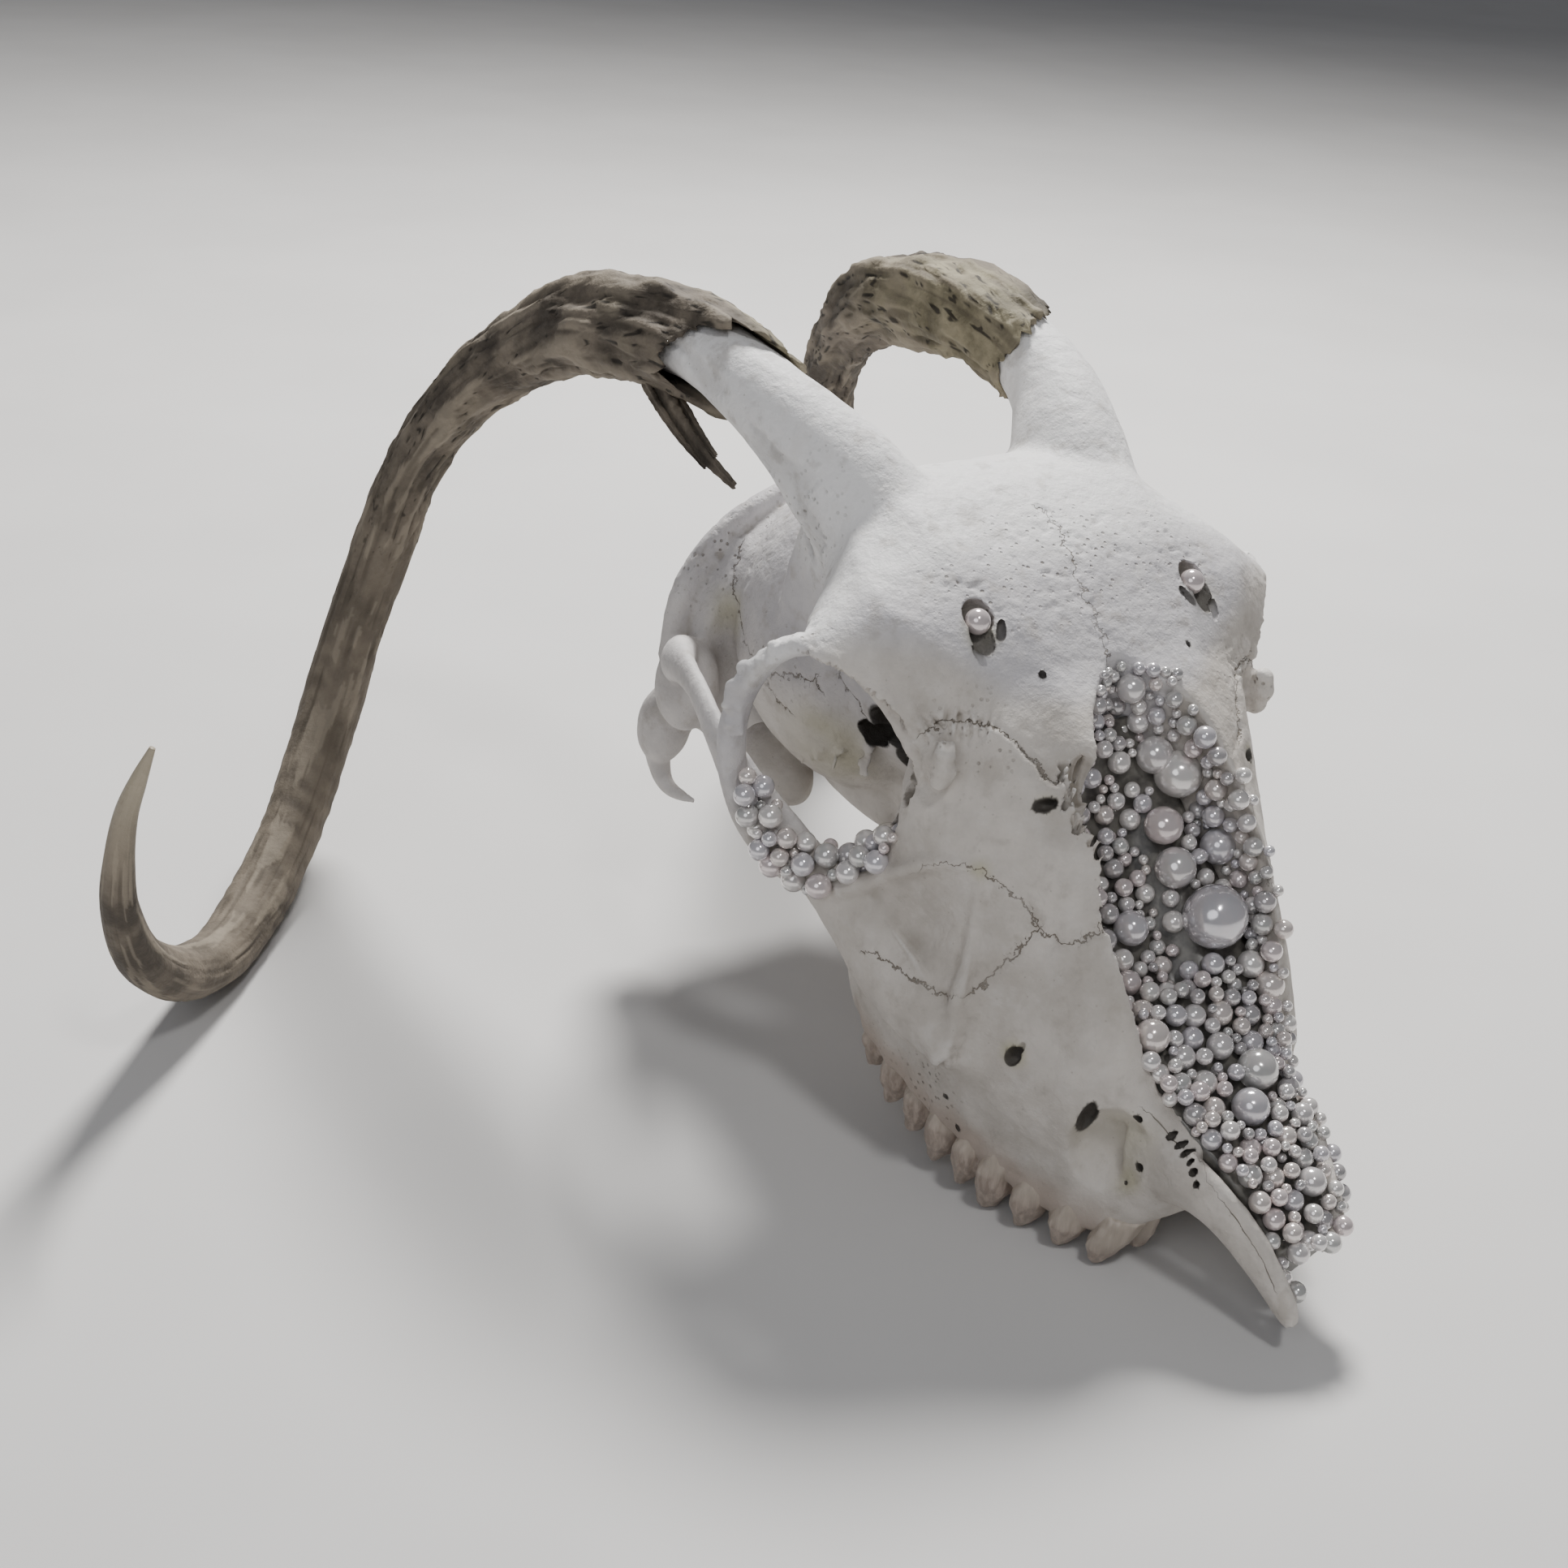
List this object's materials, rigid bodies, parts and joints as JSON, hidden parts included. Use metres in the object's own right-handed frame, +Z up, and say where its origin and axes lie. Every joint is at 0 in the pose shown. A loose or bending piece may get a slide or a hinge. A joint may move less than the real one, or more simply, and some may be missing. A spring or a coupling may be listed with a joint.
{
  "type": "ram skull with bead filling",
  "caption": "Life-size ram skull with curved horns, its nasal opening and one orbit filled with pearl beads, lying as on a table.",
  "frame": {"origin": "middle of the bounding box in X and Y, on the floor that the skull rests on", "axes": "+Z up from the floor, the nose towards -Y, the animal's left side towards +X"},
  "size_m": [0.3078, 0.2958, 0.1669],
  "materials": {
    "cranium": "dry bleached bone",
    "maxilla_right": "dry bone, warmer",
    "maxilla_left": "dry bone, warmer",
    "zygomatic_right": "dry bone",
    "zygomatic_left": "dry bone",
    "premaxilla_right": "dry bone, stained",
    "premaxilla_left": "dry bone, stained",
    "horn_sheath_right": "weathered flaking horn",
    "horn_sheath_left": "weathered flaking horn",
    "pearls_nose": "pearl lustre",
    "pearls_orbit_right": "pearl lustre, pinkish",
    "pearl_brow_right": "pearl lustre",
    "pearl_brow_left": "pearl lustre"
  },
  "bodies": {
    "root": {"cranium": "cranium", "maxilla_right": "maxilla_right", "maxilla_left": "maxilla_left", "zygomatic_right": "zygomatic_right", "zygomatic_left": "zygomatic_left", "premaxilla_right": "premaxilla_right", "premaxilla_left": "premaxilla_left", "horn_sheath_right": "horn_sheath_right", "horn_sheath_left": "horn_sheath_left", "pearls_nose": "pearls_nose", "pearls_orbit_right": "pearls_orbit_right", "pearl_brow_right": "pearl_brow_right", "pearl_brow_left": "pearl_brow_left"}
  },
  "joints": []
}
